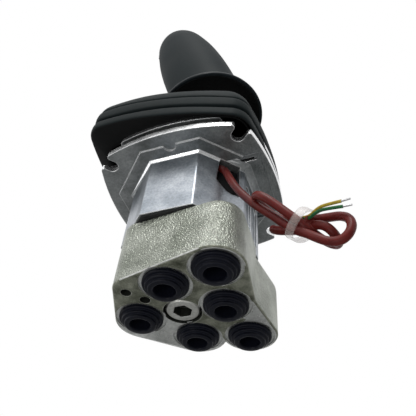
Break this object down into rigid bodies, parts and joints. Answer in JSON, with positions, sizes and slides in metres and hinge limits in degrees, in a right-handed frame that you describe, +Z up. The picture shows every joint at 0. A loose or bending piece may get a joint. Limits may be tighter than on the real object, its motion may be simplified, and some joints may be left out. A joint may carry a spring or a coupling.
{
  "type": "hydraulic pilot joystick valve",
  "caption": "Hydraulic pilot control valve with ported cast body, square flange, pleated boot, hand rest and leaning grip with push button, and a coiled control cable.",
  "frame": {"origin": "on the lever's axis, in the plane of the mounting flange's underside", "axes": "+Z up the lever, +X towards the pressure and tank ports, +Y completes a right-handed frame; the grip leans towards -X"},
  "size_m": [0.137, 0.096, 0.3169],
  "materials": {
    "rubber": "matt black moulded rubber",
    "grip_plastic": "fine grained dark slate plastic",
    "plug_plastic": "smooth near-black plastic",
    "cast_body": "blasted casting, rough and slightly sparkling",
    "aluminium_housing": "die cast and machined, bright edges",
    "zinc_steel": "bright zinc plated steel",
    "hard_steel": "ground steel",
    "spring_steel": "spring wire",
    "brass": "turned brass",
    "gasket_fibre": "dark sealing sheet",
    "button_red": "smooth black plastic",
    "cable_red": "brick red cable sheath",
    "tie_nylon": "translucent nylon",
    "wire_yellow": "thin yellow insulation",
    "wire_green": "thin green insulation"
  },
  "bodies": {
    "base": {"valve_body": "cast_body", "control_housing": "aluminium_housing", "housing_gasket": "gasket_fibre", "centre_bolt": "zinc_steel", "port_plug_1": "plug_plastic", "port_plug_2": "plug_plastic", "port_plug_3": "plug_plastic", "port_plug_4": "plug_plastic", "port_plug_5": "plug_plastic", "port_plug_6": "plug_plastic", "gallery_plugs": "zinc_steel", "plunger_bushes": "brass", "bush_seals": "rubber", "bush_retaining_plate": "zinc_steel", "retaining_screws": "zinc_steel", "joint_base": "hard_steel", "boot": "rubber", "cable_grommet": "rubber", "control_cable": "cable_red", "cable_hank": "cable_red", "cable_tie": "tie_nylon", "wire_yellow": "wire_yellow", "wire_green": "wire_green", "return_spring_1": "spring_steel", "return_spring_2": "spring_steel", "return_spring_3": "spring_steel", "return_spring_4": "spring_steel"},
    "cross": {"joint_cross": "hard_steel"},
    "lever": {"joint_fork": "hard_steel", "cam_plate": "hard_steel", "cam_nut": "zinc_steel", "lever_rod": "zinc_steel", "lock_nut": "zinc_steel", "hand_rest": "grip_plastic", "grip_left_shell": "grip_plastic", "grip_right_shell": "grip_plastic", "grip_screws": "zinc_steel", "microswitch": "plug_plastic", "button_bezel": "plug_plastic"},
    "button": {"push_button": "button_red"},
    "plunger_1": {"plunger_1": "hard_steel", "spring_seat_1": "hard_steel"},
    "spool_1": {"spool_1": "hard_steel", "control_spring_1": "spring_steel"},
    "plunger_2": {"plunger_2": "hard_steel", "spring_seat_2": "hard_steel"},
    "spool_2": {"spool_2": "hard_steel", "control_spring_2": "spring_steel"},
    "plunger_3": {"plunger_3": "hard_steel", "spring_seat_3": "hard_steel"},
    "spool_3": {"spool_3": "hard_steel", "control_spring_3": "spring_steel"},
    "plunger_4": {"plunger_4": "hard_steel", "spring_seat_4": "hard_steel"},
    "spool_4": {"spool_4": "hard_steel", "control_spring_4": "spring_steel"}
  },
  "joints": [
    {"name": "tilt_x", "type": "hinge", "parent": "base", "child": "cross", "pos_m": [0, 0, 0.017], "axis": [1, 0, 0], "range_deg": [-16, 16], "stiffness_Nm_per_rad": 1.2, "deforming": ["boot"]},
    {"name": "tilt_y", "type": "hinge", "parent": "cross", "child": "lever", "pos_m": [0, 0, 0.017], "axis": [0, 1, 0], "range_deg": [-16, 16], "stiffness_Nm_per_rad": 1.2, "deforming": ["boot"]},
    {"name": "button_press", "type": "slide", "parent": "lever", "child": "button", "axis": [0.9511, 0, 0.309], "range_m": [0, 0.0025], "stiffness_N_per_m": 400},
    {"name": "plunger_slide_1", "type": "slide", "parent": "base", "child": "plunger_1", "axis": [0, 0, 1], "range_m": [-0.0059, 0.0059], "deforming": ["return_spring_1", "control_spring_1"]},
    {"name": "spool_slide_1", "type": "slide", "parent": "base", "child": "spool_1", "axis": [0, 0, 1], "range_m": [-0.0021, 0.0021]},
    {"name": "plunger_slide_2", "type": "slide", "parent": "base", "child": "plunger_2", "axis": [0, 0, 1], "range_m": [-0.0059, 0.0059], "deforming": ["return_spring_2", "control_spring_2"]},
    {"name": "spool_slide_2", "type": "slide", "parent": "base", "child": "spool_2", "axis": [0, 0, 1], "range_m": [-0.0021, 0.0021]},
    {"name": "plunger_slide_3", "type": "slide", "parent": "base", "child": "plunger_3", "axis": [0, 0, 1], "range_m": [-0.0059, 0.0059], "deforming": ["return_spring_3", "control_spring_3"]},
    {"name": "spool_slide_3", "type": "slide", "parent": "base", "child": "spool_3", "axis": [0, 0, 1], "range_m": [-0.0021, 0.0021]},
    {"name": "plunger_slide_4", "type": "slide", "parent": "base", "child": "plunger_4", "axis": [0, 0, 1], "range_m": [-0.0059, 0.0059], "deforming": ["return_spring_4", "control_spring_4"]},
    {"name": "spool_slide_4", "type": "slide", "parent": "base", "child": "spool_4", "axis": [0, 0, 1], "range_m": [-0.0021, 0.0021]}
  ],
  "couplings": [
    {"joint": "plunger_slide_1", "follows": "tilt_y", "m_per_rad": -0.02105},
    {"joint": "spool_slide_1", "follows": "tilt_y", "m_per_rad": -0.00737},
    {"joint": "plunger_slide_2", "follows": "tilt_x", "m_per_rad": 0.02105},
    {"joint": "spool_slide_2", "follows": "tilt_x", "m_per_rad": 0.00737},
    {"joint": "plunger_slide_3", "follows": "tilt_y", "m_per_rad": 0.02105},
    {"joint": "spool_slide_3", "follows": "tilt_y", "m_per_rad": 0.00737},
    {"joint": "plunger_slide_4", "follows": "tilt_x", "m_per_rad": -0.02105},
    {"joint": "spool_slide_4", "follows": "tilt_x", "m_per_rad": -0.00737}
  ]
}
